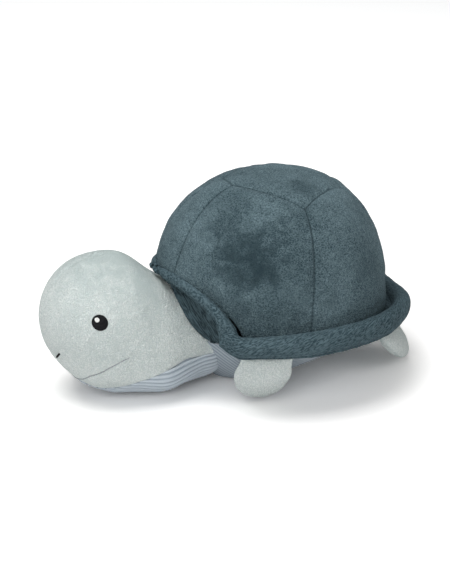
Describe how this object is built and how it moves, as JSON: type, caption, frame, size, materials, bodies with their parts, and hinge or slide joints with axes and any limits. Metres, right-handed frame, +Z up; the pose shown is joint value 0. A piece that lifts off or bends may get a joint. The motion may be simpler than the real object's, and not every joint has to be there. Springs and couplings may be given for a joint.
{
  "type": "plush turtle",
  "caption": "Plush turtle soft toy: domed panelled shell with a padded rolled brim, round pale head on a turning neck, ribbed chin and belly, and stub feet.",
  "frame": {"origin": "on the surface that the turtle rests on, under the middle of its bounding box", "axes": "+Y from the nose to the rear, +X to the turtle's left, +Z up"},
  "size_m": [0.2028, 0.2794, 0.152],
  "materials": {
    "shell_plush": "short-pile plush, slate teal",
    "skin_velour": "velour, pale sage",
    "ribbed_plush": "ribbed plush, light blue-grey",
    "fibre_filling": "loose polyester fibre",
    "black_thread": "satin-stitch embroidery thread",
    "white_thread": "satin-stitch embroidery thread",
    "grey_thread": "single embroidery thread"
  },
  "bodies": {
    "body": {"belly_panel": "ribbed_plush", "body_filling": "fibre_filling", "brim_front_back": "shell_plush", "brim_front_face": "shell_plush", "brim_front_filling": "fibre_filling", "brim_left_filling": "fibre_filling", "brim_left_under_band": "shell_plush", "brim_left_upper_band": "shell_plush", "brim_right_filling": "fibre_filling", "brim_right_under_band": "shell_plush", "brim_right_upper_band": "shell_plush", "shell_front_left_panel": "shell_plush", "shell_front_panel": "shell_plush", "shell_front_right_panel": "shell_plush", "shell_rear_left_panel": "shell_plush", "shell_rear_panel": "shell_plush", "shell_rear_right_panel": "shell_plush", "shell_top_panel": "shell_plush"},
    "neck": {"neck_filling": "fibre_filling"},
    "head": {"chin_panel": "ribbed_plush", "head_filling": "fibre_filling", "head_left_panel": "skin_velour", "head_right_panel": "skin_velour", "left_eye": "black_thread", "left_eye_highlight": "white_thread", "left_nostril": "black_thread", "mouth_stitch": "grey_thread", "right_eye": "black_thread", "right_eye_highlight": "white_thread", "right_nostril": "black_thread"},
    "front_left_foot": {"front_left_foot_filling": "fibre_filling", "front_left_foot_under_panel": "skin_velour", "front_left_foot_upper_panel": "skin_velour"},
    "front_right_foot": {"front_right_foot_filling": "fibre_filling", "front_right_foot_under_panel": "skin_velour", "front_right_foot_upper_panel": "skin_velour"},
    "rear_left_foot": {"rear_left_foot_filling": "fibre_filling", "rear_left_foot_under_panel": "skin_velour", "rear_left_foot_upper_panel": "skin_velour"},
    "rear_right_foot": {"rear_right_foot_filling": "fibre_filling", "rear_right_foot_under_panel": "skin_velour", "rear_right_foot_upper_panel": "skin_velour"}
  },
  "joints": [
    {"name": "head_turn", "type": "hinge", "parent": "body", "child": "neck", "pos_m": [0, -0.0307, 0.04], "axis": [0, 0, 1], "range_deg": [-4, 4], "stiffness_Nm_per_rad": 2},
    {"name": "head_nod", "type": "hinge", "parent": "neck", "child": "head", "pos_m": [0, -0.0307, 0.04], "axis": [1, 0, 0], "range_deg": [-1, 10], "stiffness_Nm_per_rad": 3},
    {"name": "front_left_foot_swing", "type": "hinge", "parent": "body", "child": "front_left_foot", "pos_m": [0.07624, 0.0027, 0.04067], "axis": [-0.3584, -0.9336, 0], "range_deg": [0, 45], "stiffness_Nm_per_rad": 0.02},
    {"name": "front_right_foot_swing", "type": "hinge", "parent": "body", "child": "front_right_foot", "pos_m": [-0.07624, 0.0027, 0.04067], "axis": [-0.3584, 0.9336, 0], "range_deg": [0, 45], "stiffness_Nm_per_rad": 0.02},
    {"name": "rear_left_foot_swing", "type": "hinge", "parent": "body", "child": "rear_left_foot", "pos_m": [0.04075, 0.10657, 0.04011], "axis": [0.866, -0.5, 0], "range_deg": [-15, 35], "stiffness_Nm_per_rad": 0.02},
    {"name": "rear_right_foot_swing", "type": "hinge", "parent": "body", "child": "rear_right_foot", "pos_m": [-0.04075, 0.10657, 0.04011], "axis": [0.866, 0.5, 0], "range_deg": [-15, 35], "stiffness_Nm_per_rad": 0.02}
  ]
}
